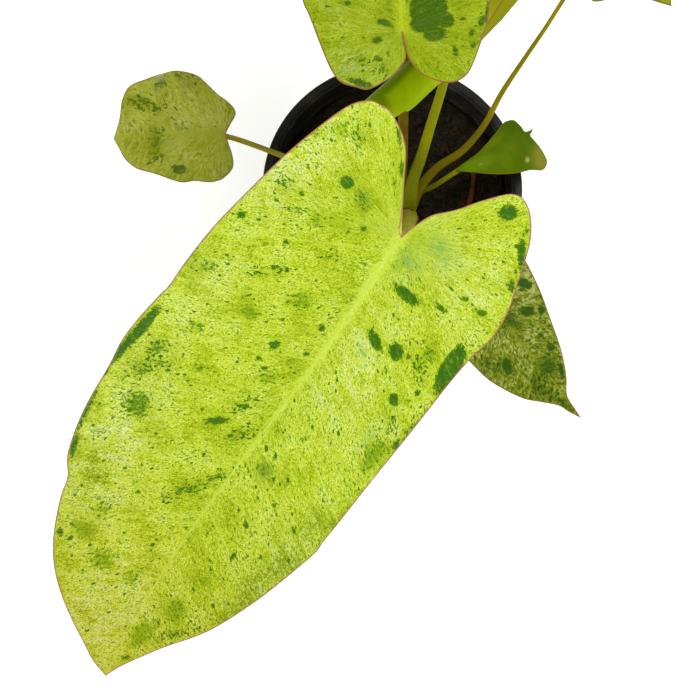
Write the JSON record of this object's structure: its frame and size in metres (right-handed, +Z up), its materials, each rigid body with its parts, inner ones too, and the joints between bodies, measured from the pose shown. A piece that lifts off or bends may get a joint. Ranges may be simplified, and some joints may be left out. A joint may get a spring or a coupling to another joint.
{
  "type": "potted philodendron",
  "caption": "Philodendron with long lime leaves mottled dark green, one leaf still rolled, on slender petioles from a short stem in a round tapered nursery pot filled with soil.",
  "frame": {"origin": "centre of the pot's base, on the surface that the pot stands on", "axes": "+Z up, +X to the picture's right, +Y away from the viewer"},
  "size_m": [0.2561, 0.4085, 0.2099],
  "materials": {
    "pot": "moulded satin black",
    "soil": "moist crumbly bark and peat",
    "stem": "smooth olive with leaf scars",
    "root": "dull reddish brown",
    "front_leaf_petiole": "smooth satin",
    "front_leaf_blade": "satin leaf, lime with dark green patches and fine mottling",
    "back_leaf_petiole": "smooth satin",
    "back_leaf_blade": "satin leaf, lime with dark green patches",
    "new_leaf_petiole": "smooth satin",
    "new_leaf_blade": "satin underside of a rolled young leaf",
    "left_leaf_petiole": "smooth satin",
    "left_leaf_blade": "satin mottled leaf",
    "right_leaf_petiole": "smooth satin",
    "right_leaf_blade": "satin leaf, strongly mottled dark green and cream",
    "young_leaf_petiole": "smooth satin",
    "young_leaf_blade": "satin underside of a small leaf",
    "far_leaf_petiole": "smooth satin",
    "far_leaf_blade": "satin mottled leaf"
  },
  "bodies": {
    "root": {"pot": "pot", "soil": "soil", "stem": "stem", "surface_root": "root", "front_leaf_petiole": "front_leaf_petiole", "front_leaf_blade": "front_leaf_blade", "back_leaf_petiole": "back_leaf_petiole", "back_leaf_blade": "back_leaf_blade", "new_leaf_petiole": "new_leaf_petiole", "new_leaf_blade": "new_leaf_blade", "left_leaf_petiole": "left_leaf_petiole", "left_leaf_blade": "left_leaf_blade", "right_leaf_petiole": "right_leaf_petiole", "right_leaf_blade": "right_leaf_blade", "young_leaf_petiole": "young_leaf_petiole", "young_leaf_blade": "young_leaf_blade", "far_leaf_petiole": "far_leaf_petiole", "far_leaf_blade": "far_leaf_blade"}
  },
  "joints": []
}
